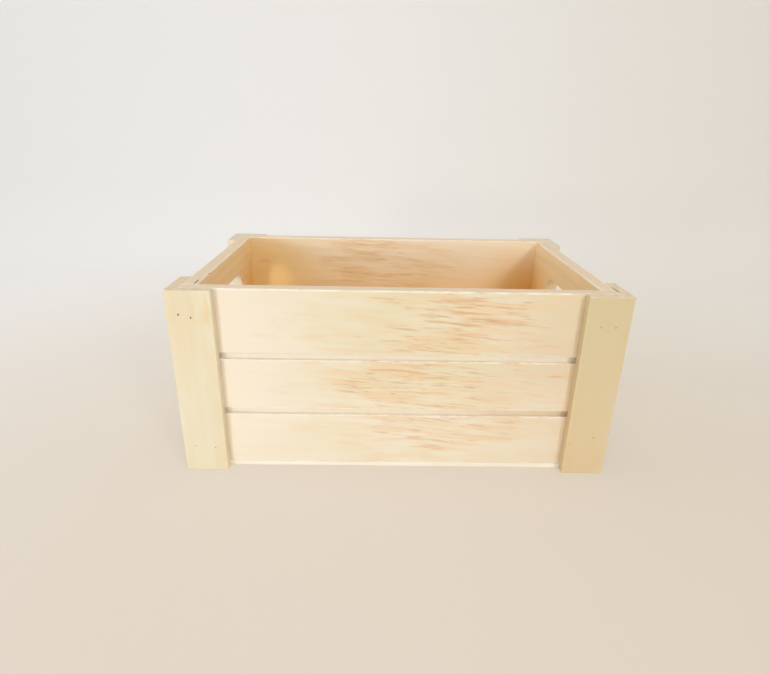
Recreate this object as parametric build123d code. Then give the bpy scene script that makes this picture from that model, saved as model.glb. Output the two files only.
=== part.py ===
from build123d import *
import os

# An open crate of planed pine: four boards stand on a thin bottom, a strip covers each
# face of every corner, and wire brads hold it all together. The origin is the middle of
# its underside, the front faces -Y, +Z is up, and sizes are in millimetres.

# Outer sizes, over the corner strips
outer_length = 300.0
outer_depth = 204.0
outer_height = 132.0

# Timber sizes
board_thickness = 10.0
strip_thickness = 7.0
strip_width = 29.5
bottom_thickness = 3.5
eased_edge = 0.4

# Two saw grooves along the outside of every board make it look like three slats
groove_height = 4.5
groove_depth = 3.0
upper_groove_drop = 44.3  # rim to the upper edge of the groove
lower_groove_drop = 85.5

# Hand hole through each end board
hand_hole_length = 80.0
hand_hole_height = 36.0
hand_hole_drop = 21.5  # rim to the upper edge of the hole
hand_hole_ease = 0.8

# Wire brads, driven until their heads lie a little under the surface
brad_diameter = 1.2
brad_head_diameter = 1.7
brad_head_thickness = 0.5
brad_sink = 0.5
brad_point_length = 1.6
brad_tip_diameter = 0.3
strip_brad_length = 14.0
corner_brad_length = 28.0
bottom_brad_length = 13.0

# How far a cutter runs past the face that it opens
cut_overrun = 1.0

# Brad places on a corner strip: across it from its outer edge, and up from the floor
front_left_brad_shares = ((0.27, 0.88), (0.53, 0.865), (0.27, 0.147), (0.75, 0.139))
front_right_brad_shares = ((0.65, 0.846), (0.325, 0.845), (0.92, 0.187), (0.36, 0.223))
end_strip_brad_shares = ((0.18, 0.80), (0.66, 0.81), (0.18, 0.10), (0.66, 0.11))
# Corner brads, up from the floor, and bottom brads, out from the middle of a board
corner_brad_height_shares = (0.30, 0.52, 0.74)
long_bottom_brad_shares = (-0.75, -0.25, 0.25, 0.75)
end_bottom_brad_shares = (-0.6, 0.0, 0.6)

# Faces of the long boards and of the end boards, from the middle of the crate
long_board_outside = outer_depth / 2 - strip_thickness
long_board_inside = long_board_outside - board_thickness
end_board_outside = outer_length / 2 - strip_thickness
end_board_inside = end_board_outside - board_thickness

# The four sides, as the direction that each one faces
sides = {"front": (0, -1), "back": (0, 1), "left": (-1, 0), "right": (1, 0)}


def timber(x_span, y_span, z_span):
    """A planed piece that fills three spans, with every edge eased."""
    spans = [sorted(span) for span in (x_span, y_span, z_span)]
    middle = [(low + high) / 2 for low, high in spans]
    piece = Pos(*middle) * Box(*[high - low for low, high in spans])
    return chamfer(piece.edges(), eased_edge)


def grooves(half_length, outside):
    """Both grooves of a board that faces -Y, long enough to open at its ends."""
    cutters = []
    for drop in (upper_groove_drop, lower_groove_drop):
        cutter = Box(
            2 * (half_length + cut_overrun),
            groove_depth + cut_overrun,
            groove_height,
            align=(Align.CENTER, Align.MAX, Align.MAX),
        )
        cutters.append(Pos(0, groove_depth - outside, outer_height - drop) * cutter)
    return cutters


def hand_hole(outside):
    """The stadium hole of a board that faces -Y, flared a little at both faces."""
    centre_height = outer_height - hand_hole_drop - hand_hole_height / 2
    wide = SlotOverall(
        hand_hole_length + 2 * hand_hole_ease, hand_hole_height + 2 * hand_hole_ease
    )
    along = (1, 0, 0)
    front = Plane(origin=(0, -outside, centre_height), x_dir=along, z_dir=(0, 1, 0))
    back = Plane(
        origin=(0, board_thickness - outside, centre_height), x_dir=along, z_dir=(0, -1, 0)
    )
    through = front * SlotOverall(hand_hole_length, hand_hole_height)
    cutters = [extrude(through, amount=board_thickness + cut_overrun)]
    cutters.append(extrude(through, amount=-cut_overrun))
    for face in (front, back):
        cutters.append(extrude(face * wide, amount=hand_hole_ease, taper=45))
    return cutters


def long_board():
    """The front board. It runs over the ends of the end boards."""
    half = end_board_outside
    board = timber(
        (-half, half),
        (-long_board_outside, -long_board_inside),
        (bottom_thickness, outer_height),
    )
    return board - grooves(half, long_board_outside)


def end_board():
    """An end board, made as if it faced -Y, between the long boards."""
    half = long_board_inside
    board = timber(
        (-half, half),
        (-end_board_outside, -end_board_inside),
        (bottom_thickness, outer_height),
    )
    return board - grooves(half, end_board_outside) - hand_hole(end_board_outside)


def bottom_sheet():
    """The thin sheet under the boards, flush with their outer faces."""
    return timber(
        (-end_board_outside, end_board_outside),
        (-long_board_outside, long_board_outside),
        (0, bottom_thickness),
    )


def face_strip(x_sign, y_sign):
    """A strip on the front or the back, over the edge of the strip round the corner."""
    outer = outer_length / 2
    return timber(
        (x_sign * (outer - strip_width), x_sign * outer),
        (y_sign * long_board_outside, y_sign * outer_depth / 2),
        (0, outer_height),
    )


def end_strip(x_sign, y_sign):
    """A strip on an end, behind the strip of the front or the back."""
    return timber(
        (x_sign * end_board_outside, x_sign * outer_length / 2),
        (y_sign * (long_board_outside - strip_width), y_sign * long_board_outside),
        (0, outer_height),
    )


def brad(length):
    """A brad that points down, with the top of its head at the origin."""
    hang = (Align.CENTER, Align.CENTER, Align.MAX)
    shank_length = length - brad_head_thickness - brad_point_length
    head = Cylinder(brad_head_diameter / 2, brad_head_thickness, align=hang)
    shank = Cylinder(brad_diameter / 2, shank_length, align=hang)
    point = Cone(brad_tip_diameter / 2, brad_diameter / 2, brad_point_length, align=hang)
    under_head = -brad_head_thickness
    return head + Pos(0, 0, under_head) * shank + Pos(0, 0, under_head - shank_length) * point


def head_bore():
    """The small bore that a sunk head leaves above itself."""
    stand = (Align.CENTER, Align.CENTER, Align.MIN)
    bore = Cylinder(brad_head_diameter / 2, brad_sink + cut_overrun, align=stand)
    return Pos(0, 0, -brad_sink) * bore


def seat(place, outward):
    """Where a brad enters the wood, with its Z axis out of the face."""
    return Plane(origin=place, z_dir=outward).location


def strip_seats(side):
    """Seats of the brads in both strips on one side."""
    facing_x, facing_y = sides[side]
    seats = []
    for sign in (-1, 1):
        if facing_y:
            # Seen from outside, the strip on the left always has the left one's places
            left = sign == facing_y
            table = front_left_brad_shares if left else front_right_brad_shares
        else:
            table = end_strip_brad_shares
        for across, up in table:
            if facing_y:
                x = sign * (outer_length / 2 - across * strip_width)
                y = facing_y * outer_depth / 2
            else:
                x = facing_x * outer_length / 2
                y = sign * (long_board_outside - across * strip_width)
            seats.append(seat((x, y, up * outer_height), (facing_x, facing_y, 0)))
    return seats


def corner_seats():
    """Seats of the brads through the long boards into the ends of the end boards."""
    middle = (end_board_outside + end_board_inside) / 2
    return [
        seat((x_sign * middle, y_sign * long_board_outside, up * outer_height), (0, y_sign, 0))
        for x_sign in (-1, 1)
        for y_sign in (-1, 1)
        for up in corner_brad_height_shares
    ]


def bottom_seats():
    """Seats of the brads through the bottom into the lower edges of the boards."""
    long_middle = (long_board_outside + long_board_inside) / 2
    end_middle = (end_board_outside + end_board_inside) / 2
    down = (0, 0, -1)
    seats = []
    for sign in (-1, 1):
        for share in long_bottom_brad_shares:
            seats.append(seat((share * end_board_outside, sign * long_middle, 0), down))
        for share in end_bottom_brad_shares:
            seats.append(seat((sign * end_middle, share * long_board_inside, 0), down))
    return seats


def drive(seats, length):
    """The brads of one group, and the bores above their heads."""
    sunk = Pos(0, 0, -brad_sink) * brad(length)
    brads = [place * sunk for place in seats]
    bores = [place * head_bore() for place in seats]
    return brads, bores


def turned(piece, side):
    """A piece made facing -Y, turned about Z to face the way its side does."""
    angles = {"front": 0, "right": 90, "back": 180, "left": 270}
    return Rot(0, 0, angles[side]) * piece


def main():
    wood = {
        "front_board": turned(long_board(), "front"),
        "back_board": turned(long_board(), "back"),
        "left_end_board": turned(end_board(), "left"),
        "right_end_board": turned(end_board(), "right"),
        "bottom_sheet": bottom_sheet(),
    }
    x_names = {"left": -1, "right": 1}
    y_names = {"front": -1, "back": 1}
    for x_name, x_sign in x_names.items():
        for y_name, y_sign in y_names.items():
            wood[f"{y_name}_{x_name}_strip"] = face_strip(x_sign, y_sign)
            wood[f"{x_name}_{y_name}_strip"] = end_strip(x_sign, y_sign)

    groups = {}
    for side in sides:
        groups[f"{side}_strip_brads"] = drive(strip_seats(side), strip_brad_length)
    groups["corner_brads"] = drive(corner_seats(), corner_brad_length)
    groups["bottom_brads"] = drive(bottom_seats(), bottom_brad_length)

    # Each group is driven only through the pieces that it joins
    joined = {"corner_brads": ["board"], "bottom_brads": ["board", "bottom"]}
    os.makedirs("parts", exist_ok=True)
    for name, piece in wood.items():
        for group, (brads, bores) in groups.items():
            if any(kind in name for kind in joined.get(group, ["board", "strip"])):
                piece = piece - brads - bores
        export_step(piece, f"parts/{name}.step")
    for name, (brads, bores) in groups.items():
        export_step(Compound(children=brads), f"parts/{name}.step")


main()
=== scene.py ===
import math

import bmesh
import bpy
from mathutils import Matrix, Vector, noise


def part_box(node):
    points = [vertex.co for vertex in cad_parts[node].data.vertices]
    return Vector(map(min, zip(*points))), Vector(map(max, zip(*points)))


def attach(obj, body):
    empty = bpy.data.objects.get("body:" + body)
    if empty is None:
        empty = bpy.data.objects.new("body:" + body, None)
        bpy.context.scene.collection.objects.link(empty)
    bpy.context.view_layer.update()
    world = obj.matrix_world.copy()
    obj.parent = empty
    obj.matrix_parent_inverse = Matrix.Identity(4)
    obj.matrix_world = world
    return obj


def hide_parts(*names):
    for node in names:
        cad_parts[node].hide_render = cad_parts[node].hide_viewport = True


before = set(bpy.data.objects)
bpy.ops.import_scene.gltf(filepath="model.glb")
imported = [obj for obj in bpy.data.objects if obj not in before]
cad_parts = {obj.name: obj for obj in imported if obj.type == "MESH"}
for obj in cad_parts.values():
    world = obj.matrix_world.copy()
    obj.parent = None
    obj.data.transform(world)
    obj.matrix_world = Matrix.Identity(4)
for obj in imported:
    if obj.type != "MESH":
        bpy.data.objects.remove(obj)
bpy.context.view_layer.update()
print("frame loaded,", len(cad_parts), "nodes")

mm = 0.001  # shapes are made in millimetres, and turned to Blender's metres when they are finished


# Camera

photoView = {
    "width": 770,
    "height": 674,
    "focalPixels": 573.3,
    "opticalCentre": (385.0, 378.3),  # pixels from the left and from the top
    "place": (-15.3, -454.3, 230.1),
    "pitchDown": 23.95,
    "yaw": -1.02,
    "roll": -1.15,
    "nearest": 20,  # nothing nearer than this is drawn, and nothing further than the next
    "furthest": 30000,
}


def makeCamera(view):
    camera = bpy.data.cameras.new("photoCamera")
    camera.sensor_fit = "HORIZONTAL"
    camera.lens = view["focalPixels"] / view["width"] * camera.sensor_width
    camera.shift_x = (view["width"] / 2 - view["opticalCentre"][0]) / view["width"]
    camera.shift_y = (view["opticalCentre"][1] - view["height"] / 2) / view["width"]
    camera.clip_start = view["nearest"] * mm
    camera.clip_end = view["furthest"] * mm
    holder = bpy.data.objects.new("photoCamera", camera)
    bpy.context.scene.collection.objects.link(holder)
    turn = Matrix.Rotation(math.radians(view["yaw"]), 4, "Z")
    tip = Matrix.Rotation(math.radians(-view["pitchDown"]), 4, "X")
    lean = Matrix.Rotation(math.radians(view["roll"]), 4, "Y")
    lookAlongY = Matrix.Rotation(math.radians(90), 4, "X")
    place = Matrix.Translation(Vector(view["place"]) * mm)
    holder.matrix_world = place @ turn @ tip @ lean @ lookAlongY
    bpy.context.scene.camera = holder


makeCamera(photoView)
print("camera set")


# Small tools for shapes

noiseShift = (17.3, 5.1, 9.7)  # from one seed's noise to the next, in lumps
firstSeeds = {"boards": 1, "strips": 20}  # each piece's wear draws on its own seed and the next two

# How closely a section and its ends are drawn
sectionShape = {
    "arcSteps": 4,
    "fineRadius": 0.25,  # an arc of this radius or less has fewer steps
    "fineArcSteps": 2,
    "flatRadius": 1000.0,  # stands for the radius where there is no arc
    "margin": 1.0,  # a flat's first and last point lie this far from the arcs
    "marginLimit": 0.3,  # unless that is this share of the flat or more
    "capInset": 0.4,  # the flat middle of an end starts this far inside its eased edge
    "sharpAngle": 40,  # edges with a wider angle in degrees aren't shaded smooth
}

# How wear is spread over the timber: lumps in millimetres
wearPattern = {
    "waveLump": 38,
    "waveDepthRate": 3,  # the waves are shorter through the thickness, by this much
    "raggedLump": 5,
    "chewedLump": 13,
    "chewedFrom": 0.15,  # an arris is chewed only where the noise is higher than this
    "chewedStrength": 1.5,
    "kerfLump": 2.2,
}

# A point counts as in a saw groove this far above and below it, this far in from its mouth, and
# this far past its floor
kerfReach = {"beside": 0.1, "mouth": 0.5, "floor": 0.2}


def wander(point, lump, seed):
    # smooth noise from -1 to 1, with lumps of that many millimetres
    return noise.noise(Vector(point) / lump + Vector(noiseShift) * seed)


def evenWander(point, lump, seed):
    # the same noise, from 0 to 1
    return 0.5 + 0.5 * wander(point, lump, seed)


def nodeBox(name):
    # lowest and highest corner of a CAD node, in millimetres
    low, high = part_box(name)
    return low / mm, high / mm


def cornerArc(before, spot, after, radius, side):
    # the points round one eased corner; side is 1 if the section runs anticlockwise, or else -1
    inward = (spot - before).normalized()
    onward = (after - spot).normalized()
    bulges = (inward.x * onward.y - inward.y * onward.x) * side > 0
    centre = spot - inward * radius + onward * radius
    steps = sectionShape["arcSteps" if radius > sectionShape["fineRadius"] else "fineArcSteps"]
    arc = []
    for step in range(steps + 1):
        angle = math.pi / 2 * step / steps
        swing = inward * math.sin(angle) - onward * math.cos(angle)
        place = centre + swing * radius
        if bulges:
            arc.append((place, swing, onward - inward, radius, 1.0))
        else:
            arc.append((place, -swing, Vector((0, 0)), sectionShape["flatRadius"], 0.0))
    return arc


def flatPoints(start, end, spacing, side):
    # the points between two arcs
    run = end - start
    normal = Vector((run.y, -run.x)).normalized() * side
    count = max(1, round(run.length / spacing))
    shares = [step / count for step in range(1, count)]
    margin = sectionShape["margin"] / run.length
    if margin < sectionShape["marginLimit"]:
        shares = [margin] + [share for share in shares if margin < share < 1 - margin] + [1 - margin]
    points = []
    for share in shares:
        points.append((start + run * share, normal, Vector((0, 0)), sectionShape["flatRadius"], 0.0))
    return points


def easedOutline(corners, spacing):
    # corners: (depth, height, radius) in order round a closed section of square corners
    # gives points of (place, way out, way in past the corner's centre, radius, is it an arris)
    spots = [Vector(corner[:2]) for corner in corners]
    area = sum(a.x * b.y - a.y * b.x for a, b in zip(spots, spots[1:] + spots[:1]))
    side = 1 if area > 0 else -1
    arcs = []
    for index, corner in enumerate(corners):
        after = spots[(index + 1) % len(spots)]
        arcs.append(cornerArc(spots[index - 1], spots[index], after, corner[2], side))
    points = []
    for arc, nextArc in zip(arcs, arcs[1:] + arcs[:1]):
        points += arc + flatPoints(arc[-1][0], nextArc[0][0], spacing, side)
    return points


def endStations(length, radius, spacing):
    # (how far along, how much drawn in, how much of an arris), with both ends eased
    steps = sectionShape["arcSteps"]
    margin = sectionShape["margin"]
    head = [(0.0, radius + sectionShape["capInset"], 0.0)]
    for step in range(steps + 1):
        angle = math.pi / 2 * (1 - step / steps)
        drawnIn = radius * (1 - math.cos(angle))
        head.append((radius * (1 - math.sin(angle)), drawnIn, 1.0))
    head.append((radius + margin, 0.0, 0.0))
    span = length - 2 * radius - 2 * margin
    count = max(1, round(span / spacing))
    gap = span / count
    middle = [(radius + margin + gap * step, 0.0, 0.0) for step in range(1, count)]
    tail = [(length - along, drawnIn, arris) for along, drawnIn, arris in reversed(head)]
    return head + middle + tail


def kerfAt(depth, height, finish):
    # 1 in a saw groove and 0 elsewhere
    for low, high in finish.get("kerfs", ()):
        level = low - kerfReach["beside"] <= height <= high + kerfReach["beside"]
        if level and kerfReach["mouth"] < depth < finish["kerfDepth"] + kerfReach["floor"]:
            return 1.0
    return 0.0


def wornTo(drawnIn, place, edge, inKerf, finish):
    # how far inside the true surface a point ends up; place is (along, depth, height)
    along, depth, height = place
    seed = finish["seed"]
    stretched = (along, depth * wearPattern["waveDepthRate"], height)
    loss = drawnIn + finish["wave"] * evenWander(stretched, wearPattern["waveLump"], seed)
    ragged = evenWander(place, wearPattern["raggedLump"], seed + 1)
    chewed = max(0.0, wander(place, wearPattern["chewedLump"], seed + 2) - wearPattern["chewedFrom"])
    loss += edge * finish["wear"] * (ragged * ragged + wearPattern["chewedStrength"] * chewed)
    if inKerf:
        loss += finish["kerfRough"] * evenWander(place, wearPattern["kerfLump"], seed)
    return loss


def sweepTimber(name, outline, length, axes, start, finish):
    # carries a section along a piece: axes are the world directions of depth, height and length
    depthAxis, heightAxis, alongAxis = (Vector(axis) for axis in axes)
    start = Vector(start)
    form = bmesh.new()
    kerfLayer = form.verts.layers.float.new("kerf")
    arrisLayer = form.verts.layers.float.new("arris")
    rings = []
    for along, drawnIn, endArris in endStations(length, finish["easing"], finish["station"]):
        ring = []
        for spot, outward, pastCentre, radius, arris in outline:
            depth, height = spot
            edge = max(arris, endArris)
            inKerf = kerfAt(depth, height, finish)
            loss = wornTo(drawnIn, (along, depth, height), edge, inKerf, finish)
            spot = spot - outward * min(loss, radius) + pastCentre * max(0.0, loss - radius)
            place = start + alongAxis * along + depthAxis * spot.x + heightAxis * spot.y
            vertex = form.verts.new(place)
            vertex[arrisLayer] = edge
            vertex[kerfLayer] = inKerf
            ring.append(vertex)
        rings.append(ring)
    closeRings(form, rings)
    return meshPiece(name, form)


def closeRings(form, rings):
    # skins a row of closed rings and caps both ends
    for near, far in zip(rings, rings[1:]):
        for index in range(len(near)):
            form.faces.new((near[index - 1], near[index], far[index], far[index - 1]))
    form.faces.new(rings[0])
    form.faces.new(rings[-1])
    bmesh.ops.recalc_face_normals(form, faces=form.faces)


def meshPiece(name, form):
    mesh = bpy.data.meshes.new(name)
    form.to_mesh(mesh)
    form.free()
    piece = bpy.data.objects.new(name, mesh)
    bpy.context.scene.collection.objects.link(piece)
    return piece


# What made a face: the saw and plane that made its piece, a nail or a split, or the router
cutKinds = {"own": 0, "torn": 1, "routed": 2}


def markCut(cutter, kind):
    for slot in cutKinds:
        cutter.data.materials.append(None)
    count = len(cutter.data.polygons)
    cutter.data.polygons.foreach_set("material_index", [cutKinds[kind]] * count)
    return cutter


def carve(piece, cutters):
    # takes the cutters' shapes out of a piece, throws the cutters away, and marks the new faces
    for slot in cutKinds:
        piece.data.materials.append(None)
    for cutter in cutters:
        cut = piece.modifiers.new("cut", "BOOLEAN")
        cut.object = cutter
        cut.operation = "DIFFERENCE"
        cut.solver = "EXACT"
        cut.material_mode = "INDEX"
    depsgraph = bpy.context.evaluated_depsgraph_get()
    carved = bpy.data.meshes.new_from_object(piece.evaluated_get(depsgraph))
    piece.modifiers.clear()
    piece.data = carved
    for cutter in cutters:
        bpy.data.objects.remove(cutter)
    kinds = [float(face.material_index) for face in carved.polygons]
    carved.attributes.new("cut", "FLOAT", "FACE").data.foreach_set("value", kinds)
    carved.polygons.foreach_set("material_index", [0] * len(kinds))


def smoothShade(piece, sharpAngle):
    piece.data.polygons.foreach_set("use_smooth", [True] * len(piece.data.polygons))
    piece.data.set_sharp_from_angle(angle=math.radians(sharpAngle))


def finishPiece(piece, node, material):
    piece.data.transform(Matrix.Scale(mm, 4))
    smoothShade(piece, sectionShape["sharpAngle"])
    piece.data.materials.clear()
    piece.data.materials.append(material)
    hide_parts(node)
    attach(piece, "root")


# Brads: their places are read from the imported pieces

bradSides = {
    "front_strip_brads": (0, -1, 0),
    "back_strip_brads": (0, 1, 0),
    "left_strip_brads": (-1, 0, 0),
    "right_strip_brads": (1, 0, 0),
    "bottom_brads": (0, 0, -1),
}

# How near two points are that count as one, and two that are level, both in metres; and to how
# many digits of a millimetre the places are sorted
bradReading = {"samePoint": 1e-6, "level": 1e-5, "digits": 2}

# The fibres close again over a sunk head, so the bore's mouth is smaller than the head, and
# smaller still but for the upper two of the front left strip
boreShape = {
    "along": 0.8,
    "across": 0.62,
    "closed": 0.62,
    "openBeyond": (-120, -95, 100),  # further left, further forward and higher than this
    "sink": 0.5,  # from the wood's surface down to the head
    "rings": ((0.85, 0.52), (1.0, 0.1), (1.3, -1.5)),  # how wide, and how far below the surface
    "sides": 14,
    "uneven": {"share": 0.22, "bradStep": 3.7, "lump": 2, "seed": 8},  # from bore to bore
    "torn": {"share": 0.16, "sideStep": 2.1, "bradStep": 7.0, "lump": 3, "seed": 4},  # round a bore
    "boxSlack": 1,  # a head this far outside a piece's box is still in the piece
}


def bradHeads(name):
    # the middle of each brad's head, and the way that it faces, in millimetres
    outward = Vector(bradSides[name])
    form = bmesh.new()
    form.from_mesh(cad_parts[name].data)
    bmesh.ops.remove_doubles(form, verts=form.verts, dist=bradReading["samePoint"])
    heads = []
    waiting = set(form.verts)
    while waiting:
        island = [waiting.pop()]
        for vertex in island:
            for edge in vertex.link_edges:
                other = edge.other_vert(vertex)
                if other in waiting:
                    waiting.remove(other)
                    island.append(other)
        top = max(vertex.co.dot(outward) for vertex in island) - bradReading["level"]
        rim = [vertex.co for vertex in island if vertex.co.dot(outward) > top]
        heads.append((sum(rim, Vector()) / len(rim) / mm, outward))
    form.free()
    heads.sort(key=lambda head: tuple(round(value, bradReading["digits"]) for value in head[0]))
    return heads


allHeads = [head for name in bradSides for head in bradHeads(name)]


def boreCutter(index, place, outward, grain):
    # one bore over a head, longer along the grain, and a little torn
    across = outward.cross(grain)
    left, forward, above = boreShape["openBeyond"]
    wide = place.x < left and place.y < forward and place.z > above
    uneven = boreShape["uneven"]
    torn = boreShape["torn"]
    ownPlace = (index * uneven["bradStep"], 0, 0)
    breadth = 1 + uneven["share"] * wander(ownPlace, uneven["lump"], uneven["seed"])
    breadth *= 1 if wide else boreShape["closed"]
    form = bmesh.new()
    rings = []
    for reach, depth in boreShape["rings"]:
        ring = []
        for side in range(boreShape["sides"]):
            angle = 2 * math.pi * side / boreShape["sides"]
            rimPlace = (side * torn["sideStep"], index * torn["bradStep"], depth)
            width = breadth * (1 + torn["share"] * wander(rimPlace, torn["lump"], torn["seed"]))
            spot = place + outward * boreShape["sink"] - outward * depth
            spot += grain * math.cos(angle) * boreShape["along"] * reach * width
            spot += across * math.sin(angle) * boreShape["across"] * reach * width
            ring.append(form.verts.new(spot))
        rings.append(ring)
    closeRings(form, rings)
    return markCut(meshPiece("boreCutter", form), "torn")


def boreCutters(node, grain):
    # the bores over all the heads that are sunk in the sides of this piece
    low, high = nodeBox(node)
    grain = Vector(grain)
    slack = boreShape["boxSlack"]
    cutters = []
    for index, (place, outward) in enumerate(allHeads):
        inside = all(low[axis] - slack < place[axis] < high[axis] + slack for axis in range(3))
        if inside and outward.dot(grain) == 0:
            cutters.append(boreCutter(index, place, outward, grain))
    return cutters


# A split or a chip, as (share of its length, share of half its width), and how narrow its foot is
nickOutline = ((-0.5, 0.15), (-0.2, 0.9), (0.15, 1.0), (0.5, 0.12), (0.2, -0.8), (-0.25, -1.0))
nickFoot = 0.6


def nickCutter(middle, along, size):
    # a little wedge for a split or a chip: size is its length, width and depth
    along = Vector(along).normalized()
    across = along.cross((0, 0, 1)).normalized()
    down = along.cross(across)
    length, width, depth = size
    form = bmesh.new()
    rings = []
    for drop, narrow in ((-depth, 1.0), (depth, nickFoot)):
        ring = []
        for share, breadth in nickOutline:
            spot = Vector(middle) + along * length * share + across * width / 2 * breadth * narrow
            ring.append(form.verts.new(spot + down * drop))
        rings.append(ring)
    closeRings(form, rings)
    return markCut(meshPiece("nickCutter", form), "torn")


# Materials

def linearColour(hexColour):
    # sRGB hex to the linear values that Blender mixes with
    channels = [int(hexColour[start:start + 2], 16) / 255 for start in (0, 2, 4)]
    linear = [c / 12.92 if c <= 0.04045 else ((c + 0.055) / 1.055) ** 2.4 for c in channels]
    return (*linear, 1.0)


def addNode(tree, kind, settings):
    # one node: a node or a socket among its settings is linked, anything else is set
    node = tree.nodes.new("ShaderNode" + kind)
    for key, value in settings.items():
        if isinstance(value, bpy.types.Node):
            value = value.outputs[0]
        if isinstance(value, bpy.types.NodeSocket):
            tree.links.new(value, node.inputs[key])
        elif isinstance(key, int) or key in node.inputs:
            node.inputs[key].default_value = value
        else:
            setattr(node, key, value)
    return node


def newMaterial(name):
    material = bpy.data.materials.new(name)
    material.use_nodes = True
    material.node_tree.nodes.clear()
    return material


def seenDirectly(tree):
    # 1 for what the camera sees, also by a mirror or through glass, and 0 for light on its way
    rays = addNode(tree, "LightPath", {})
    seen = rays.outputs["Is Camera Ray"]
    for kind in ("Is Glossy Ray", "Is Transmission Ray"):
        seen = addNode(tree, "Math", {"operation": "MAXIMUM", 0: seen, 1: rays.outputs[kind]})
    return seen


# Pine

# Each pattern in the wood: which coordinates it follows, how long its lumps are along the
# grain, across it and into it, in millimetres, and how many octaves of noise it has
pinePatterns = {
    "drift": ("plank", (120, 40, 40), 1.0),
    "ragged": ("plank", (34, 11, 20), 3.0),
    "rubbed": ("plank", (9, 4, 4), 3.0),
    "sawMarks": ("plank", (0.8, 6, 6), 2.0),
    "mottle": ("moved", (75, 26, 26), 2.0),
    "pores": ("moved", (0.7, 0.7, 0.7), 2.0),
    "fibre": ("bent", (60, 0.8, 0.8), 3.0),
    "fineFibre": ("bent", (14, 0.45, 0.45), 2.0),
    "wash": ("bent", (34, 4.8, 9), 2.0),
    "streak": ("bent", (25, 2.1, 6), 1.8),
    "dash": ("bent", (14, 1.1, 3), 1.6),
}

# Where the soft step of a mask starts and ends: on a pattern, on a fleck's pattern that a cloud
# has lifted, and on a face's normal, which is 1 towards the side in question
patternSteps = {
    "mottle": (0.36, 0.64),
    "fibre": (0.48, 0.76),
    "wash": (0.36, 0.66),
    "pores": (0.35, 0.65),
    "rubbed": (0.30, 0.58),
}
fleckSteps = {"streak": (0.79, 1.06), "dash": (0.88, 1.06)}
facingSteps = {"inward": (0.4, 0.8), "outward": (-0.4, -0.8), "end": (0.6, 0.85), "upward": (0.6, 0.9)}

# What is the same in every piece of pine
pineTraits = {
    "noiseRoughness": 0.55,
    "bendOctaves": 1.0,
    "driftReach": 90.0,  # how far the drift between a board's two ends wanders, in millimetres
    "lateWood": ((0.3, 0.85), (1.0, 0.85)),  # comes up softly in a year's ring, and breaks off
    "spotEdge": (1.15, 0.45),  # where a soft spot starts and is full, in shares of its reach
    "fleckLift": 0.34,  # how much more of the flecks shows in a cloud
    "cutSlack": 0.25,
    "ringRelief": 0.35,  # how high the late wood stands, against the fibre
    "bumpStrength": 0.5,
    "bumpHeight": 0.06,
    "dullSteps": (0.3, 0.7),
    "dullSwing": 0.06,  # how much the fibre changes the roughness, up and down
    "refraction": 1.5,
    "specular": 0.35,
}

# What all the pine has in common; each piece changes what is its own
pineLook = {
    "cutFrom": (0, 0, 0),
    "pith": (20, -90),
    "ringWidth": 7.0,
    "lean": 0.0,
    "bends": (((130, 45, 45), 3.5), ((34, 12, 20), 0.8)),
    "pale": "F0E3C9",
    "warm": "ECDCB6",
    "warmStrength": 0.8,
    "late": "D9B680",
    "ringStrength": 0.035,
    "fibreStrength": 0.06,
    "head": "",
    "headSpan": (-20, -120),
    "tail": "",
    "tailSpan": (30, 140),
    "clouds": (),
    "wash": "EFCFA2",
    "washStrength": 0.6,
    "streak": "DCAC76",
    "streakStrength": 0.7,
    "dash": "C98F5A",
    "dashStrength": 0.45,
    # painted shade inside the crate: the inner faces warmer, the more so deeper down, near the corners
    # and lower down
    "inside": "",
    "insideSign": 1,
    "insideShadeStrength": 0.8,
    "deepShade": "F6C688",
    "deepShadeStrength": 0.9,
    "deepShadeSpan": (130, 72),  # above the floor, in millimetres
    "corner": "E9B25D",
    "cornerShadeStrength": 0.9,
    "cornerSpan": (75, 128),  # along the board, from its middle
    "cornerShadeDeepSpan": (134, 82),
    "lowShadeStrength": 0.5,
    "shadowGold": "F1CB88",
    "shadowGoldStrength": 0.85,
    "shadowSpots": (),  # painted shadow on the inner face, in soft spots of warmer colour
    # painted light from the floor: the lower part of a board paler
    "foot": "",
    "footLightStrength": 0.4,
    "lowerSpan": (76, 50),
    # painted shade on the board along the edge of each strip
    "jointShade": "C9A272",
    "jointAt": 0,  # how far from the board's middle the strips begin
    "jointShadeWidth": 1.8,
    "jointShadeStrength": 0.25,
    # painted shade in a groove where it runs in under a strip
    "kerfEndShade": "C09A66",
    "kerfEndShadeWidth": 6.0,
    "kerfEndShadeStrength": 0.15,
    # painted shade in the lower groove towards the board's tail
    "kerfShade": "DCC196",
    "kerfShadeStrength": 0.7,
    "endPale": "EAD8B8",
    "endDark": "DBC29A",
    "endPoreStrength": 0.3,
    "endRingStrength": 0.5,
    # the upward faces of a board darker and pinker: partly the sawn edge's own colour, partly painted
    # warm light from above
    "rim": "",
    "rimStrength": 0.75,
    # painted light: the groove floors paler, lifting the shade in them
    "kerf": "F1EBDB",
    "kerfStrength": 0.6,
    "arris": "FDF6E6",
    "arrisStrength": 0.75,
    "routed": "F8F0DC",
    "routedStrength": 0.9,
    "torn": "9C7A46",
    "tornStrength": 0.85,
    "roughness": 0.62,
}


def plankPlace(tree, place, order):
    # the place on the plank in millimetres: along the grain, across it and into it
    parts = addNode(tree, "SeparateXYZ", {0: place.outputs["Object"]})
    turned = addNode(tree, "CombineXYZ", {slot: parts.outputs[axis] for slot, axis in enumerate(order)})
    return addNode(tree, "VectorMath", {"operation": "SCALE", 0: turned, "Scale": 1 / mm})


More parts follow.
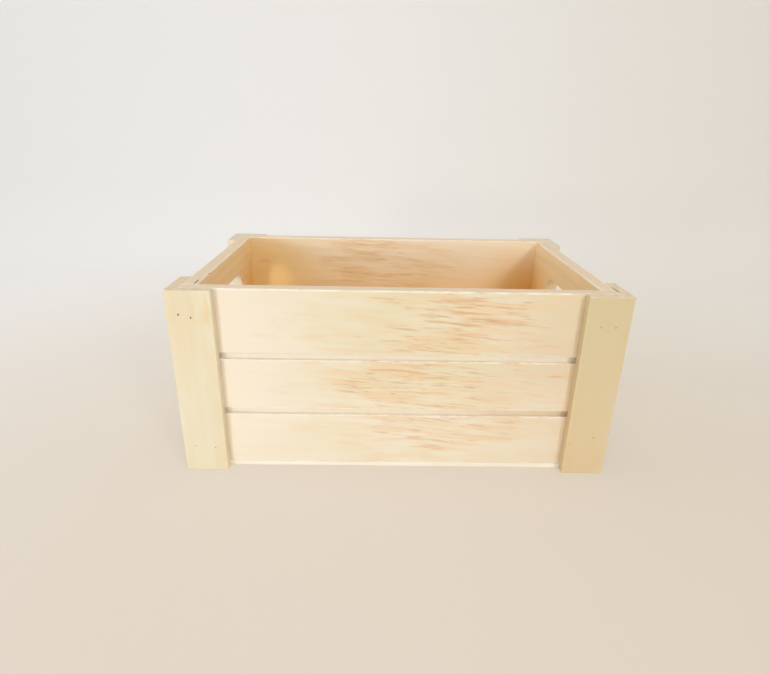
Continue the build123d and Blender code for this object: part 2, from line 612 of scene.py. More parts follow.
def bentPlace(tree, moved, look):
    # the tree's own bends, which carry its rings, its fibre and its flecks with them
    bent = moved
    for spread, reach in look["bends"]:
        shares = addNode(tree, "VectorMath", {"operation": "DIVIDE", 0: moved, 1: spread})
        bend = addNode(tree, "TexNoise", {
            "Vector": shares, "Scale": 1.0, "Detail": pineTraits["bendOctaves"],
        })
        swing = addNode(tree, "VectorMath", {
            "operation": "MULTIPLY_ADD", 0: bend.outputs["Color"], 1: (0, 2 * reach, 2 * reach),
            2: (0, -reach, -reach),
        })
        bent = addNode(tree, "VectorMath", {"operation": "ADD", 0: bent, 1: swing})
    level = addNode(tree, "SeparateXYZ", {0: bent})
    leaning = addNode(tree, "Math", {
        "operation": "MULTIPLY_ADD", 0: level.outputs[0], 1: look["lean"], 2: level.outputs[1],
    })
    return addNode(tree, "CombineXYZ", {0: level.outputs[0], 1: leaning, 2: level.outputs[2]})


def woodPatterns(tree, grounds):
    # the noise behind every pattern, each on its own coordinates
    pattern = {}
    for kind, (ground, spread, octaves) in pinePatterns.items():
        shares = addNode(tree, "VectorMath", {"operation": "DIVIDE", 0: grounds[ground], 1: spread})
        pattern[kind] = addNode(tree, "TexNoise", {
            "Vector": shares, "Scale": 1.0, "Detail": octaves, "Roughness": pineTraits["noiseRoughness"],
        })
    return pattern


def patternMasks(tree, pattern):
    # how much of a pattern shows at a spot
    mask = {}
    for kind, (low, high) in patternSteps.items():
        mask[kind] = addNode(tree, "MapRange", {
            "interpolation_type": "SMOOTHSTEP", "Value": pattern[kind], "From Min": low, "From Max": high,
        })
    return mask


def ringMask(tree, bent, look):
    # the late wood of the growth rings, round a pith that lies outside the piece
    fromPith = addNode(tree, "VectorMath", {"operation": "SUBTRACT", 0: bent, 1: (0, *look["pith"])})
    crossCut = addNode(tree, "VectorMath", {"operation": "MULTIPLY", 0: fromPith, 1: (0, 1, 1)})
    radius = addNode(tree, "VectorMath", {"operation": "LENGTH", 0: crossCut})
    years = addNode(tree, "Math", {
        "operation": "DIVIDE", 0: radius.outputs["Value"], 1: look["ringWidth"],
    })
    season = addNode(tree, "Math", {"operation": "FRACT", 0: years})
    edges = []
    for low, high in pineTraits["lateWood"]:
        edges.append(addNode(tree, "MapRange", {
            "interpolation_type": "SMOOTHSTEP", "Value": season, "From Min": low, "From Max": high,
        }))
    return addNode(tree, "Math", {"operation": "MULTIPLY", 0: edges[0], 1: edges[1]})


def placeMasks(tree, plank, drift, look):
    # The board is paler towards one end of its length and warmer towards the other. Painted
    # shade makes its inner face warmer the deeper it lies and the nearer to a corner. Outside,
    # painted shade darkens the wood along the edge of a strip and where a groove runs in under it.
    parts = addNode(tree, "SeparateXYZ", {0: plank})
    along = parts.outputs[0]
    above = parts.outputs[1]
    reach = pineTraits["driftReach"]
    drifting = addNode(tree, "Math", {"operation": "MULTIPLY_ADD", 0: drift, 1: reach, 2: along})
    fromMiddle = addNode(tree, "Math", {"operation": "ABSOLUTE", 0: along})
    strip = look["jointAt"]
    spans = [
        ("deepShade", above, *look["deepShadeSpan"]),
        ("lower", above, *look["lowerSpan"]),
        ("corner", fromMiddle, *look["cornerSpan"]),
        ("cornerShadeDeep", above, *look["cornerShadeDeepSpan"]),
        ("jointShade", fromMiddle, strip - look["jointShadeWidth"], strip),
        ("kerfEndShade", fromMiddle, strip - look["kerfEndShadeWidth"], strip),
    ]
    for kind in ("head", "tail"):
        low, high = look[kind + "Span"]
        spans.append((kind, drifting, reach / 2 + low, reach / 2 + high))
    mask = {}
    for kind, source, low, high in spans:
        mask[kind] = addNode(tree, "MapRange", {
            "interpolation_type": "SMOOTHSTEP", "Value": source, "From Min": low, "From Max": high,
        })
    return mask


def facingMasks(tree, place, order, look):
    # which way a face looks: into the crate or out of it, along the grain, or up
    facing = addNode(tree, "SeparateXYZ", {0: place.outputs["Normal"]})
    inward = addNode(tree, "Math", {
        "operation": "MULTIPLY", 0: facing.outputs[order[2]], 1: look["insideSign"],
    })
    endwise = addNode(tree, "Math", {"operation": "ABSOLUTE", 0: facing.outputs[order[0]]})
    sources = {"inward": inward, "outward": inward, "end": endwise, "upward": facing.outputs[2]}
    mask = {}
    for kind, (low, high) in facingSteps.items():
        mask[kind] = addNode(tree, "MapRange", {
            "interpolation_type": "SMOOTHSTEP", "Value": sources[kind], "From Min": low, "From Max": high,
        })
    return mask


def markMasks(tree):
    # the marks that the shapes carry: what made a face, and which points lie in a groove or on
    # an arris
    made = addNode(tree, "Attribute", {"attribute_name": "cut"})
    mask = {}
    for kind in ("torn", "routed"):
        mask[kind] = addNode(tree, "Math", {
            "operation": "COMPARE", 0: made.outputs["Fac"], 1: float(cutKinds[kind]),
            2: pineTraits["cutSlack"],
        })
    for kind in ("kerf", "arris"):
        mask[kind] = addNode(tree, "Attribute", {"attribute_name": kind}).outputs["Fac"]
    return mask


def softSpots(tree, plank, ragged, spots):
    # soft spots, ragged at the edge: clouds of flecks in the wood, and spots of painted shadow
    start, full = pineTraits["spotEdge"]
    joined = None
    for spot in spots:
        shift = addNode(tree, "VectorMath", {"operation": "SUBTRACT", 0: plank, 1: spot["middle"]})
        shares = addNode(tree, "VectorMath", {"operation": "DIVIDE", 0: shift, 1: spot["reach"]})
        far = addNode(tree, "VectorMath", {"operation": "LENGTH", 0: shares})
        uneven = addNode(tree, "Math", {
            "operation": "MULTIPLY_ADD", 0: ragged, 1: spot["ragged"], 2: far.outputs["Value"],
        })
        evenly = spot["ragged"] / 2
        one = addNode(tree, "MapRange", {
            "interpolation_type": "SMOOTHSTEP", "Value": uneven, "From Min": start + evenly,
            "From Max": full + evenly, "To Max": spot["strength"],
        })
        if joined:
            one = addNode(tree, "Math", {"operation": "MAXIMUM", 0: joined, 1: one})
        joined = one
    return joined


def fleckMasks(tree, cloud, pattern):
    # reddish flecks, which gather in the clouds
    mask = {}
    for kind, (low, high) in fleckSteps.items():
        lifted = addNode(tree, "Math", {
            "operation": "MULTIPLY_ADD", 0: cloud, 1: pineTraits["fleckLift"], 2: pattern[kind],
        })
        mask[kind] = addNode(tree, "MapRange", {
            "interpolation_type": "SMOOTHSTEP", "Value": lifted, "From Min": low, "From Max": high,
        })
    return mask


def pineCoats(look):
    # thin coats of colour, one over another: colour, strength, and where it lies
    coats = [("warm", look["warmStrength"], ("mottle",))]
    if look["head"]:
        coats += [("head", 1.0, ("head",)), ("tail", 1.0, ("tail",))]
    # painted light from the floor: the lower part of the board paler
    if look["foot"]:
        coats.append(("foot", look["footLightStrength"], ("lower",)))
    # painted shade on the inner faces: warmer overall, deeper down, near the corners and lower down
    if look["inside"]:
        coats += [
            ("inside", look["insideShadeStrength"], ("inward",)),
            ("deepShade", look["deepShadeStrength"], ("inward", "deepShade")),
            ("corner", look["cornerShadeStrength"], ("inward", "cornerShadeDeep", "corner")),
            ("inside", look["lowShadeStrength"], ("inward", "lower")),
        ]
    # painted shadow in soft spots on the inner faces
    if look["shadowSpots"]:
        coats.append(("shadowGold", look["shadowGoldStrength"], ("inward", "shadowSpots")))
    coats += [("late", look["ringStrength"], ("ring",)), ("late", look["fibreStrength"], ("fibre",))]
    if look["clouds"]:
        coats += [
            ("wash", look["washStrength"], ("cloud", "wash")),
            ("streak", look["streakStrength"], ("streak",)),
            ("dash", look["dashStrength"], ("dash",)),
        ]
    coats += [
        ("endPale", 1.0, ("end",)),
        ("endDark", look["endPoreStrength"], ("end", "pores")),
        ("endDark", look["endRingStrength"], ("end", "ring")),
    ]
    # upward faces darker and pinker: partly their own colour, partly painted warm light from above
    if look["rim"]:
        coats.append(("rim", look["rimStrength"], ("upward",)))
    # painted light: the groove floors paler, lifting the shade in them
    coats.append(("kerf", look["kerfStrength"], ("kerf",)))
    # painted shade in the lower groove towards the board's tail
    if look["tail"]:
        coats.append(("kerfShade", look["kerfShadeStrength"], ("kerf", "lower", "tail")))
    if look["jointAt"]:
        coats += [
            # painted shade in a groove where it runs in under a strip
            ("kerfEndShade", look["kerfEndShadeStrength"], ("kerf", "kerfEndShade")),
            # painted shade along the edge of each strip
            ("jointShade", look["jointShadeStrength"], ("outward", "jointShade")),
        ]
    coats += [
        ("arris", look["arrisStrength"], ("arris", "rubbed")),
        ("routed", look["routedStrength"], ("routed",)),
        ("torn", look["tornStrength"], ("torn",)),
    ]
    return coats


def pineColour(tree, mask, look):
    colour = linearColour(look["pale"])
    for shade, strength, places in pineCoats(look):
        amount = strength
        for kind in places:
            amount = addNode(tree, "Math", {"operation": "MULTIPLY", 0: mask[kind], 1: amount})
        colour = addNode(tree, "Mix", {
            "data_type": "RGBA", 0: amount, 6: colour, 7: linearColour(look[shade]),
        }).outputs[2]
    return colour


def pineRelief(tree, pattern, mask):
    # raised fibre, harder late wood, open pores and saw marks, as real heights
    height = pattern["fineFibre"]
    for relief, amount in (
        (mask["ring"], pineTraits["ringRelief"]),
        (pattern["pores"], mask["end"]),
        (pattern["sawMarks"], mask["kerf"]),
    ):
        height = addNode(tree, "Math", {"operation": "MULTIPLY_ADD", 0: relief, 1: amount, 2: height})
    return addNode(tree, "Bump", {
        "Strength": pineTraits["bumpStrength"], "Distance": pineTraits["bumpHeight"] * mm,
        "Height": height,
    })


def pine(name, look):
    # Planed pine, unfinished: matt and cream-coloured, with hardly any straight fibre, soft
    # bands of late wood, and short reddish flecks where the cut runs along a ring
    material = newMaterial(name)
    tree = material.node_tree
    order = ["XYZ".index(letter) for letter in look["axes"]]
    place = addNode(tree, "TexCoord", {})
    plank = plankPlace(tree, place, order)
    moved = addNode(tree, "VectorMath", {"operation": "ADD", 0: plank, 1: look["cutFrom"]})
    bent = bentPlace(tree, moved, look)
    pattern = woodPatterns(tree, {"plank": plank, "moved": moved, "bent": bent})
    mask = patternMasks(tree, pattern)
    mask["ring"] = ringMask(tree, bent, look)
    mask.update(placeMasks(tree, plank, pattern["drift"], look))
    mask.update(facingMasks(tree, place, order, look))
    mask.update(markMasks(tree))
    mask["cloud"] = softSpots(tree, plank, pattern["ragged"], look["clouds"])
    mask["shadowSpots"] = softSpots(tree, plank, pattern["ragged"], look["shadowSpots"])
    if look["clouds"]:
        mask.update(fleckMasks(tree, mask["cloud"], pattern))
    low, high = pineTraits["dullSteps"]
    dull = addNode(tree, "MapRange", {
        "Value": pattern["fibre"], "From Min": low, "From Max": high,
        "To Min": look["roughness"] - pineTraits["dullSwing"],
        "To Max": look["roughness"] + pineTraits["dullSwing"],
    })
    shader = addNode(tree, "BsdfPrincipled", {
        "IOR": pineTraits["refraction"], "Specular IOR Level": pineTraits["specular"],
        "Base Color": pineColour(tree, mask, look), "Roughness": dull,
        "Normal": pineRelief(tree, pattern, mask),
    })
    addNode(tree, "OutputMaterial", {0: shader})
    return material


# Steel

steelLook = {
    "bright": "AC9468",
    "oxide": "94703E",
    "patch": (0.6, 0.6, 0.6),  # how wide the patches of oxide are
    "octaves": 3.0,
    "oxideSteps": (0.3, 0.6),
    "roughness": (0.35, 0.65),
    "bumpStrength": 0.3,
    "bumpHeight": 0.03,
}


def bradSteel(look):
    # Low-carbon wire, cut and pressed: dull, and brownish with oxide and wood dust
    material = newMaterial("bradSteel")
    tree = material.node_tree
    place = addNode(tree, "TexCoord", {})
    plank = addNode(tree, "VectorMath", {
        "operation": "SCALE", 0: place.outputs["Object"], "Scale": 1 / mm,
    })
    shares = addNode(tree, "VectorMath", {"operation": "DIVIDE", 0: plank, 1: look["patch"]})
    tarnish = addNode(tree, "TexNoise", {"Vector": shares, "Scale": 1.0, "Detail": look["octaves"]})
    low, high = look["oxideSteps"]
    rusted = addNode(tree, "MapRange", {
        "interpolation_type": "SMOOTHSTEP", "Value": tarnish, "From Min": low, "From Max": high,
    })
    colour = addNode(tree, "Mix", {
        "data_type": "RGBA", 0: rusted, 6: linearColour(look["bright"]), 7: linearColour(look["oxide"]),
    }).outputs[2]
    smoothest, roughest = look["roughness"]
    dull = addNode(tree, "MapRange", {"Value": tarnish, "To Min": smoothest, "To Max": roughest})
    bump = addNode(tree, "Bump", {
        "Strength": look["bumpStrength"], "Distance": look["bumpHeight"] * mm, "Height": tarnish,
    })
    shader = addNode(tree, "BsdfPrincipled", {
        "Metallic": 1.0, "Base Color": colour, "Roughness": dull, "Normal": bump,
    })
    addNode(tree, "OutputMaterial", {0: shader})
    return material


# Boards, with two saw grooves along the outside

boardShape = {
    "arris": 0.55,
    "grooveHeight": 4.5,
    "grooveDepth": 3.0,
    "grooveDrops": (44.3, 85.5),  # rim to the upper edge of each groove
    "grooveArris": 0.3,
    "grooveFloorCorner": 0.15,
    "spacing": 4.0,
}

boardFinish = {
    "easing": 0.35,  # radius of the edges round the ends
    "station": 2.4,  # from one section to the next along the piece
    "wave": 0.08,
    "wear": 0.16,
    "kerfRough": 0.12,
    "kerfDepth": boardShape["grooveDepth"],
}

# the upward faces darker and pinker: partly the sawn edge's own colour, partly painted warm light from
# above
sharedBoardLook = {"rim": "ECD3B3"}

boardLooks = {
    "front_board": {
        "lean": 0.075,
        "warm": "E9DCB4",
        "head": "F4E8D2",
        "tail": "E6D4B4",
        # painted light from the floor: the lower part of this board paler
        "foot": "F8EDD8",
        "ringStrength": 0.02,
        "fibreStrength": 0.04,
        "jointAt": 120.5,
        "washStrength": 0.8,
        "clouds": (
            {"middle": (46, 120, -95), "reach": (66, 22, 12), "ragged": 1.2, "strength": 0.95},
            {"middle": (18, 99, -95), "reach": (62, 20, 12), "ragged": 1.2, "strength": 0.9},
            {"middle": (8, 68, -95), "reach": (86, 27, 12), "ragged": 1.2, "strength": 0.92},
            {"middle": (34, 34, -95), "reach": (86, 28, 12), "ragged": 1.2, "strength": 0.85},
            {"middle": (34, 72, -90), "reach": (116, 84, 40), "ragged": 1.5, "strength": 0.68},
        ),
    },
    "back_board": {
        "cutFrom": (400, 60, 20),
        "lean": 0.05,
        "ringStrength": 0.07,
        "fibreStrength": 0.08,
        "wash": "EFC68E",
        "streak": "D6A266",
        "streakStrength": 0.32,
        "dash": "BF874C",
        "dashStrength": 0.15,
        "jointAt": 120.5,
        "clouds": (
            {"middle": (-14, 104, 85), "reach": (80, 44, 11), "ragged": 1.0, "strength": 1.0},
            {"middle": (-121, 104, 85), "reach": (14, 12, 11), "ragged": 0.5, "strength": 1.0},
            {"middle": (-64, 86, 85), "reach": (30, 14, 11), "ragged": 0.6, "strength": 0.8},
            {"middle": (40, 50, 95), "reach": (110, 60, 30), "ragged": 1.5, "strength": 0.6},
        ),
        "inside": "FEEBCC",
        "insideSign": -1,
        "insideShadeStrength": 0.95,
        "deepShade": "F9CC90",
        # painted shadow of the left end board on the back board's inner face, near the left corner
        "shadowSpots": (
            {"middle": (-145, 98, 92), "reach": (92, 50, 60), "ragged": 0.4, "strength": 1.0},
        ),
    },
    "left_end_board": {
        "cutFrom": (900, 130, 45),
        "pith": (-30, 70),
        "ringStrength": 0.16,
        "fibreStrength": 0.12,
        "inside": "FFDEA8",
        "insideShadeStrength": 1.0,
        "deepShade": "FCCB8B",
        "cornerSpan": (20, 85),
        "jointAt": 65.5,
    },
    "right_end_board": {
        "cutFrom": (1300, 20, 75),
        "pith": (60, 95),
        "ringStrength": 0.12,
        "fibreStrength": 0.12,
        "inside": "FEE3B4",
        "insideSign": -1,
        "insideShadeStrength": 0.95,
        "deepShade": "FBCF8A",
        "cornerSpan": (20, 85),
        "jointAt": 65.5,
        "routed": "FDE3B8",
    },
}

# The world directions of each board's depth, height and length
boardAxes = {
    "front_board": ((0, 1, 0), (0, 0, 1), (1, 0, 0)),
    "back_board": ((0, -1, 0), (0, 0, 1), (1, 0, 0)),
    "left_end_board": ((1, 0, 0), (0, 0, 1), (0, 1, 0)),
    "right_end_board": ((-1, 0, 0), (0, 0, 1), (0, 1, 0)),
}


def grooveSpans(rim):
    # lowest and highest edge of each groove above the floor, the lower groove first
    spans = []
    for drop in reversed(boardShape["grooveDrops"]):
        spans.append((rim - drop - boardShape["grooveHeight"], rim - drop))
    return spans


def boardSection(low, high, thickness, spans):
    # the section of a grooved board: depth 0 is its outer face
    mouth = boardShape["grooveArris"]
    foot = boardShape["grooveFloorCorner"]
    depth = boardShape["grooveDepth"]
    corners = [(0, low, boardShape["arris"])]
    for bottom, top in spans:
        corners += [(0, bottom, mouth), (depth, bottom, foot), (depth, top, foot), (0, top, mouth)]
    corners += [(0, high, boardShape["arris"]), (thickness, high, boardShape["arris"])]
    corners += [(thickness, low, boardShape["arris"])]
    return easedOutline(corners, boardShape["spacing"])


def makeBoard(node, seed):
    low, high = nodeBox(node)
    axes = boardAxes[node]
    depthAxis, alongAxis = Vector(axes[0]), Vector(axes[2])
    thickness = abs((high - low).dot(depthAxis))
    length = (high - low).dot(alongAxis)
    start = Vector((0, 0, 0))
    for axis in (0, 1):
        if depthAxis[axis] > 0 or alongAxis[axis] > 0:
            start[axis] = low[axis]
        elif depthAxis[axis] < 0:
            start[axis] = high[axis]
    spans = grooveSpans(high.z)
    finish = dict(boardFinish, seed=seed, kerfs=spans)
    outline = boardSection(low.z, high.z, thickness, spans)
    return sweepTimber(node + "_timber", outline, length, axes, start, finish)


# Hand holes through the end boards

handHole = {
    "length": 80.0,
    "height": 36.0,
    "drop": 21.5,  # rim to the upper edge of the hole
    "easing": 1.0,
    "easingSteps": 4,
    "arcSteps": 24,
    "innerShares": (0.3, 0.5, 0.7),  # where the straight part is drawn, in shares of the thickness
    "wobble": 0.18,
    "wobbleLump": 11,
    "wobbleDepthRate": 0.3,  # how fast the wobble changes through the thickness
    "overrun": 2.0,  # how far the cutter stands out of each face
}


def handHoleOutline(flat):
    # round a stadium: the middle of the arc that a point lies on, and the way out from there
    outline = []
    steps = handHole["arcSteps"]
    for side in (1, -1):
        for step in range(steps + 1):
            angle = math.radians(-90 + 180 * step / steps) + (math.pi if side < 0 else 0)
            outline.append((side * flat, math.cos(angle), math.sin(angle)))
    return outline


def handHoleStations(thickness):
    # how deep each section lies, and how much wider it is than the hole
    easing = handHole["easing"]
    steps = handHole["easingSteps"]
    flared = [(-handHole["overrun"], easing)]
    for step in range(steps + 1):
        angle = math.pi / 2 * (1 - step / steps)
        flared.append((easing * (1 - math.sin(angle)), easing * (1 - math.cos(angle))))
    straight = [(thickness * share, 0.0) for share in handHole["innerShares"]]
    return flared + straight + [(thickness - depth, flare) for depth, flare in reversed(flared)]


def handHoleCutter(node, seed):
    # a stadium that flares where it leaves each face, and is not quite true
    low, high = nodeBox(node)
    radius = handHole["height"] / 2
    middle = high.z - handHole["drop"] - radius
    outline = handHoleOutline(handHole["length"] / 2 - radius)
    form = bmesh.new()
    rings = []
    for depth, flare in handHoleStations(high.x - low.x):
        ring = []
        for centre, outY, outZ in outline:
            spot = (centre + radius * outY, middle + radius * outZ, depth * handHole["wobbleDepthRate"])
            wobble = handHole["wobble"] * wander(spot, handHole["wobbleLump"], seed)
            reach = radius + flare + wobble
            place = Vector((low.x + depth, centre + reach * outY, middle + reach * outZ))
            ring.append(form.verts.new(place))
        rings.append(ring)
    closeRings(form, rings)
    return markCut(meshPiece("handHoleCutter", form), "routed")


# Splits and chips that show in the wood, as (middle, direction, (length, width, depth))
boardNicks = {
    "left_end_board": (
        ((-134.95, -79.1, 132.0), (0, 1, 0), (12.4, 1.3, 2.6)),
        ((-133.1, -55.0, 132.0), (0.2, 1, 0), (3.0, 1.0, 0.8)),
    ),
}


def dressBoard(node, seed):
    board = makeBoard(node, seed)
    isEnd = "end" in node
    cutters = [handHoleCutter(node, seed)] if isEnd else []
    cutters += [nickCutter(*nick) for nick in boardNicks.get(node, ())]
    if cutters:
        carve(board, cutters)
    look = {**pineLook, "axes": "YZX" if isEnd else "XZY", **sharedBoardLook, **boardLooks[node]}
    finishPiece(board, node, pine(node + "Pine", look))


for seed, node in enumerate(boardLooks, firstSeeds["boards"]):
    dressBoard(node, seed)
print("boards made")


# Bottom sheet

bottomFinish = {"easing": 0.35, "spacing": 5.0, "station": 4.0, "wave": 0.05, "wear": 0.08, "seed": 9}

bottomLook = {
    "axes": "XYZ",
    "cutFrom": (200, 300, 0),
    "pith": (-40, -300),
    "ringWidth": 9.0,
    "pale": "FDF5E5",
    "warm": "F9EED6",
    "ringStrength": 0.12,
    "endPale": "F3E7CC",
    "endDark": "E6D3AB",
    "arrisStrength": 0.0,
}


def makeBottom():
    low, high = nodeBox("bottom_sheet")
    spots = ((low.z, low.y), (low.z, high.y), (high.z, high.y), (high.z, low.y))
    corners = [(*spot, bottomFinish["easing"]) for spot in spots]
    outline = easedOutline(corners, bottomFinish["spacing"])
    axes = ((0, 0, 1), (0, 1, 0), (1, 0, 0))
    start = (low.x, 0, 0)
    sheet = sweepTimber("bottom_sheet_timber", outline, high.x - low.x, axes, start, bottomFinish)
    carve(sheet, boreCutters("bottom_sheet", (1, 0, 0)))
    wood = pine("bottomSheetPine", {**pineLook, **bottomLook})
    finishPiece(sheet, "bottom_sheet", wood)


makeBottom()
print("bottom made")


# Corner strips, with the grain upright

stripFinish = {"easing": 0.3, "spacing": 4.0, "station": 3.0, "wave": 0.05, "wear": 0.12}

# What the strips share, and what all but the front two do
sharedStripLook = {"arrisStrength": 0.1}
grainyStripLook = {"ringStrength": 0.14, "fibreStrength": 0.12}

stripLooks = {
    "front_left_strip": {
        "cutFrom": (30, 0, 0),
        "pith": (70, 40),
        "pale": "EDE2C5",
        "warm": "EAD9B3",
        "fibreStrength": 0.04,
        "clouds": (
            {"middle": (121, -125, -102), "reach": (15, 11, 12), "ragged": 0.5, "strength": 1.0},
        ),
        "wash": "E8CF9E",
        "washStrength": 0.75,
        "streakStrength": 0.0,
        "dashStrength": 0.0,
    },
    "front_right_strip": {
        "cutFrom": (300, 50, 10),
        "pith": (-60, 80),
        "pale": "E4CFA7",
        "warm": "E2C99C",
        "fibreStrength": 0.05,
        "head": "E6D1AA",
        "tail": "DCC99E",
        "tailSpan": (20, 130),
    },
    "back_left_strip": {"cutFrom": (600, 90, 20), "endPale": "EAE0CA"},
    "back_right_strip": {"cutFrom": (800, 10, 30), "endPale": "EAE0CA"},
    "left_front_strip": {"cutFrom": (1000, 40, 40), "pale": "EBDCB9"},
    "left_back_strip": {"cutFrom": (1200, 70, 50), "endPale": "EAE2CE"},
    "right_front_strip": {"cutFrom": (1500, 20, 60), "pale": "E8D7B1"},
    "right_back_strip": {"cutFrom": (1800, 80, 70), "endPale": "EAE2CE"},
}

stripNicks = {
    "right_front_strip": (((143.2, -84.0, 132.0), (0.03, -1, 0), (17.0, 1.1, 0.3)),),
}


def makeStrip(node, seed):
    low, high = nodeBox(node)
    spots = ((low.x, low.y), (high.x, low.y), (high.x, high.y), (low.x, high.y))
    corners = [(*spot, stripFinish["easing"]) for spot in spots]
    outline = easedOutline(corners, stripFinish["spacing"])
    axes = ((1, 0, 0), (0, 1, 0), (0, 0, 1))
    finish = dict(stripFinish, seed=seed)
    strip = sweepTimber(node + "_timber", outline, high.z - low.z, axes, (0, 0, low.z), finish)
    cutters = boreCutters(node, (0, 0, 1))
    cutters += [nickCutter(*nick) for nick in stripNicks.get(node, ())]
    carve(strip, cutters)
    onLongSide = node.startswith(("front", "back"))
    look = {**pineLook, "axes": "ZXY" if onLongSide else "ZYX", **sharedStripLook}
    if not node.startswith("front"):
        look.update(grainyStripLook)
    look.update(stripLooks[node])
    finishPiece(strip, node, pine(node + "Pine", look))


for seed, node in enumerate(stripLooks, firstSeeds["strips"]):
    makeStrip(node, seed)
print("strips made")


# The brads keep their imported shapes

steel = bradSteel(steelLook)
for name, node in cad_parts.items():
    if name.endswith("brads"):
        node.data.materials.clear()
        node.data.materials.append(steel)
print("brads finished")


# Stage: one pale sheet that lies flat and sweeps up behind

stage = {
    "halfWidth": 9000,
    "front": -9000,
    "bendStart": 470,
    "bendRadius": 130,
    "bendSteps": 12,
    "top": 2600,
    "sharpAngle": 60,
    # painted light: the floor darker and warmer than the wall
    "floor": "E2D8CA",
    "wall": "EDEAE5",
    "roughness": 0.95,
    "specular": 0.1,
    "seenFloor": "EBDFCF",
    "seenWall": "FBF9F6",
    "seenRightShade": "F2ECE1",  # painted shade: the sheet is darker and warmer towards the right, by this much
    "rightSpan": (-300, 600),
    "seenShare": 0.55,  # how much of the sheet's look in the picture does not depend on the lamps
    "warmAbout": (0, -260, 0),  # painted warm light: the sheet is warmest here, just before the crate
    "warmWithin": 130,
    "coolFrom": 940,  # and cooler this far from there
    "plainAbout": (0, 250, 0),
    "plainWithin": 800,
    "plainFrom": 1500,  # this far from there it looks as plain as the room behind it
}

backdropColour = "EBE9E5"


def stageSpreads(tree, place, look):
    # how warm the sheet is at a spot, and how plain
    spread = {}
    for kind, low, high in (("warm", "coolFrom", "warmWithin"), ("plain", "plainWithin", "plainFrom")):
        shifted = addNode(tree, "VectorMath", {
            "operation": "SUBTRACT", 0: place.outputs["Object"], 1: Vector(look[kind + "About"]) * mm,
        })
        away = addNode(tree, "VectorMath", {"operation": "LENGTH", 0: shifted})
        spread[kind] = addNode(tree, "MapRange", {
            "interpolation_type": "SMOOTHSTEP", "Value": away.outputs["Value"],
            "From Min": look[low] * mm, "From Max": look[high] * mm,
        })
    return spread


def seenSheet(tree, place, plain, seen, look):
    # the sheet's look in the picture: painted shade towards the right, and plain far from the crate
    sideways = addNode(tree, "SeparateXYZ", {0: place.outputs["Object"]})
    rightward = addNode(tree, "MapRange", {
        "interpolation_type": "SMOOTHSTEP", "Value": sideways.outputs[0],
        "From Min": look["rightSpan"][0] * mm, "From Max": look["rightSpan"][1] * mm,
    })
    shadedRight = addNode(tree, "Mix", {
        "data_type": "RGBA", "blend_type": "MULTIPLY", 0: rightward, 6: seen,
        7: linearColour(look["seenRightShade"]),
    }).outputs[2]
    return addNode(tree, "Mix", {
        "data_type": "RGBA", 0: plain, 6: shadedRight, 7: linearColour(backdropColour),
    }).outputs[2]


def stageCotton(look):
    # Plain cotton sheet: dead matt, with painted light: warmer and darker where it lies flat, and cooler
    # and paler where it hangs
    material = newMaterial("stageCotton")
    tree = material.node_tree
    place = addNode(tree, "TexCoord", {})
    spread = stageSpreads(tree, place, look)
    shades = {}
    for key, wall, floor in (("lit", "wall", "floor"), ("seen", "seenWall", "seenFloor")):
        shades[key] = addNode(tree, "Mix", {
            "data_type": "RGBA", 0: spread["warm"],
            6: linearColour(look[wall]), 7: linearColour(look[floor]),
        }).outputs[2]
    cloth = addNode(tree, "BsdfPrincipled", {
        "Base Color": shades["lit"], "Roughness": look["roughness"],
        "Specular IOR Level": look["specular"],
    })
    shown = seenSheet(tree, place, spread["plain"], shades["seen"], look)
    glow = addNode(tree, "Emission", {"Color": shown, "Strength": 1.0})
    glowing = addNode(tree, "MapRange", {
        "Value": spread["plain"], "To Min": look["seenShare"], "To Max": 1.0,
    })
    share = addNode(tree, "Math", {"operation": "MULTIPLY", 0: seenDirectly(tree), 1: glowing})
    mixed = addNode(tree, "MixShader", {0: share, 1: cloth, 2: glow})
    addNode(tree, "OutputMaterial", {0: mixed})
    return material


def makeStage():
    steps = stage["bendSteps"]
    profile = [(stage["front"], 0.0)]
    for step in range(steps + 1):
        angle = math.pi / 2 * step / steps
        forward = stage["bendStart"] + stage["bendRadius"] * math.sin(angle)
        profile.append((forward, stage["bendRadius"] * (1 - math.cos(angle))))
    profile.append((stage["bendStart"] + stage["bendRadius"], stage["top"]))
    form = bmesh.new()
    rows = []
    for side in (-1, 1):
        rows.append([form.verts.new(Vector((side * stage["halfWidth"], y, z)) * mm) for y, z in profile])
    for index in range(1, len(profile)):
        form.faces.new((rows[0][index - 1], rows[1][index - 1], rows[1][index], rows[0][index]))
    sheet = meshPiece("stageSheet", form)
    smoothShade(sheet, stage["sharpAngle"])
    sheet.data.materials.append(stageCotton(stage))


makeStage()


# Light: a softly lit room, a wide window to the front left with one brighter low pane, a
# curtained one to the left, a small one high to the front right, and a pale ceiling

room = {"colour": "F8FAFF", "strength": 0.45, "backdrop": backdropColour}

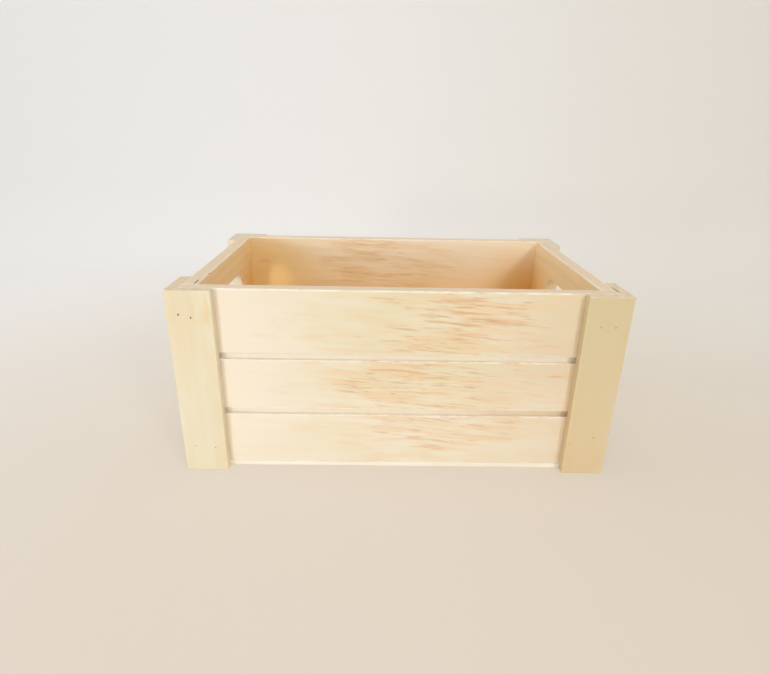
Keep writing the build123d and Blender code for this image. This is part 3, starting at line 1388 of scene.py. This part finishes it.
lamps = {
    "window": {
        "place": (-430, -1330, 430),
        "aim": (-30, 0, 66),
        "size": (1200, 600),
        "spread": 90,
        "power": 0.54,
        "colour": "FAFCFF",
    },
    "curtain": {
        "place": (-1300, 60, 700),
        "aim": (60, 0, 110),
        "size": (500, 500),
        "spread": 90,
        "power": 0.72,
        "colour": "FFFFFF",
    },
    "pane": {
        "place": (-540, -1130, 165),
        "aim": (-138, 0, 92),
        "size": (120, 120),
        "spread": 60,
        "power": 0.3,
        "colour": "FFFFFF",
    },
    "side": {
        "place": (567, -1145, 677),
        "aim": (100, -95, 66),
        "size": (220, 220),
        "spread": 100,
        "power": 1.38,
        "colour": "FAFCFF",
    },
    "ceiling": {
        "place": (0, -200, 1600),
        "aim": (0, 0, 0),
        "size": (1200, 1200),
        "spread": 180,
        "power": 6.2,
        "colour": "FFFBF6",
    },
}


def makeLamp(name, lamp):
    light = bpy.data.lights.new(name, "AREA")
    light.shape = "RECTANGLE"
    light.size, light.size_y = (side * mm for side in lamp["size"])
    light.spread = math.radians(lamp["spread"])
    light.energy = lamp["power"]
    light.color = linearColour(lamp["colour"])[:3]
    holder = bpy.data.objects.new(name, light)
    bpy.context.scene.collection.objects.link(holder)
    holder.location = Vector(lamp["place"]) * mm
    aim = Vector(lamp["aim"]) - Vector(lamp["place"])
    holder.rotation_euler = aim.to_track_quat("-Z", "Y").to_euler()
    holder.visible_camera = False


def makeRoom():
    # the camera sees a plain backdrop, and the rest of the light is the room's
    world = bpy.data.worlds.new("room")
    world.use_nodes = True
    tree = world.node_tree
    tree.nodes.clear()
    light = addNode(tree, "Background", {
        "Color": linearColour(room["colour"]), "Strength": room["strength"],
    })
    backdrop = addNode(tree, "Background", {"Color": linearColour(room["backdrop"])})
    mixed = addNode(tree, "MixShader", {0: seenDirectly(tree), 1: light, 2: backdrop})
    addNode(tree, "OutputWorld", {0: mixed})
    bpy.context.scene.world = world


for name, lamp in lamps.items():
    makeLamp(name, lamp)
makeRoom()
bpy.context.scene.view_settings.view_transform = "Standard"
print("stage and light set")
